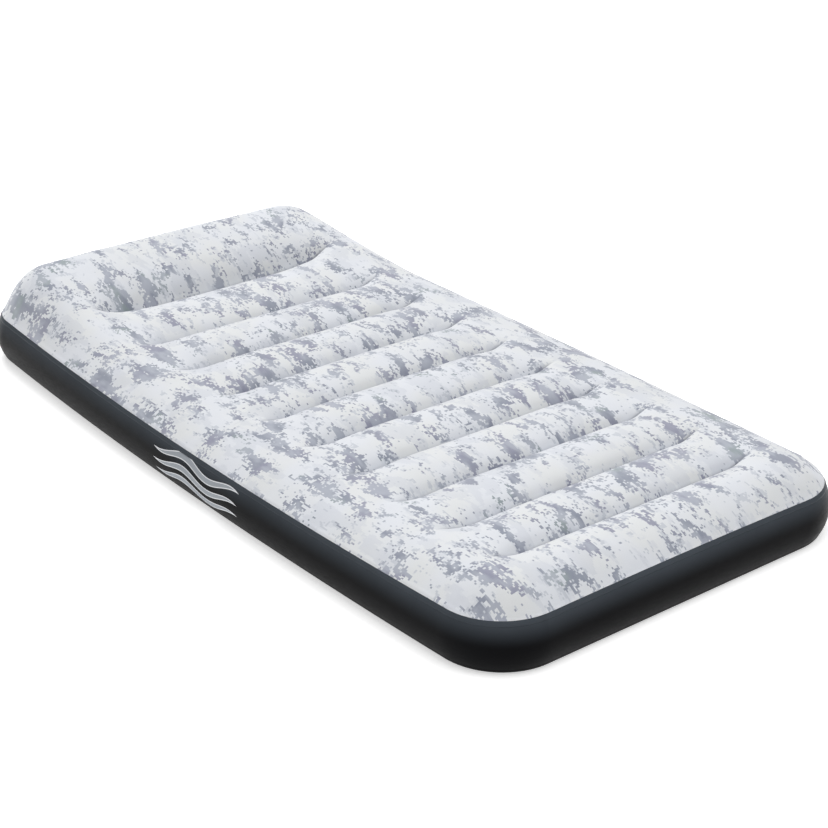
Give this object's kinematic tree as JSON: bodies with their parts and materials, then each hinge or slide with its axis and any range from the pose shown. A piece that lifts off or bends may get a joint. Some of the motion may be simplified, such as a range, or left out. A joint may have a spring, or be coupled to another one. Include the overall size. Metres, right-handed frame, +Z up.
{
  "type": "air mattress",
  "caption": "Inflated camping air mattress: flocked camouflage top with cross channels and a raised pillow cell, dark vinyl walls, inner beams and a screw-in inflation valve with a flip cap.",
  "frame": {"origin": "centre of the flat underside, on the floor", "axes": "+Z up, +Y towards the pillow end, +X across the mattress; the valve is in the +Y end wall"},
  "size_m": [0.99, 1.8925, 0.2123],
  "materials": {
    "flocked_top": "matte",
    "wall_vinyl": "satin",
    "base_vinyl": "matte",
    "beam_vinyl": "satin",
    "valve_plastic": "satin",
    "seal_rubber": "matte"
  },
  "bodies": {
    "mattress": {"top_sheet": "flocked_top", "side_wall": "wall_vinyl", "bottom_sheet": "base_vinyl", "top_weld_band": "wall_vinyl", "bottom_weld_band": "wall_vinyl", "i_beam_01": "beam_vinyl", "i_beam_02": "beam_vinyl", "i_beam_03": "beam_vinyl", "i_beam_04": "beam_vinyl", "i_beam_05": "beam_vinyl", "i_beam_06": "beam_vinyl", "i_beam_07": "beam_vinyl", "i_beam_08": "beam_vinyl", "i_beam_09": "beam_vinyl", "i_beam_10": "beam_vinyl", "beam_top_tapes": "beam_vinyl", "beam_bottom_tapes": "beam_vinyl", "valve_patch": "wall_vinyl", "valve_collar": "valve_plastic"},
    "gasket": {"stem_gasket": "seal_rubber"},
    "stem": {"valve_stem": "valve_plastic", "cap_strap": "valve_plastic"},
    "flap": {"flap_disc": "seal_rubber"},
    "cap": {"valve_cap": "valve_plastic", "cap_seal": "seal_rubber"}
  },
  "joints": [
    {"name": "stem_lift", "type": "slide", "parent": "mattress", "child": "gasket", "axis": [0, 1, 0], "range_m": [0, 0.00901]},
    {"name": "stem_turn", "type": "hinge", "parent": "gasket", "child": "stem", "pos_m": [-0.25, 0.94, 0.054], "axis": [0, 1, 0], "range_deg": [0, 540]},
    {"name": "flap_open", "type": "slide", "parent": "stem", "child": "flap", "axis": [0, -1, 0], "range_m": [0, 0.003], "stiffness_N_per_m": 60},
    {"name": "cap_flip", "type": "hinge", "parent": "stem", "child": "cap", "pos_m": [-0.25, 0.949, 0.03], "axis": [-1, 0, 0], "range_deg": [0, 120]}
  ],
  "couplings": [
    {"joint": "stem_lift", "follows": "stem_turn", "m_per_rad": 0.00095493}
  ]
}
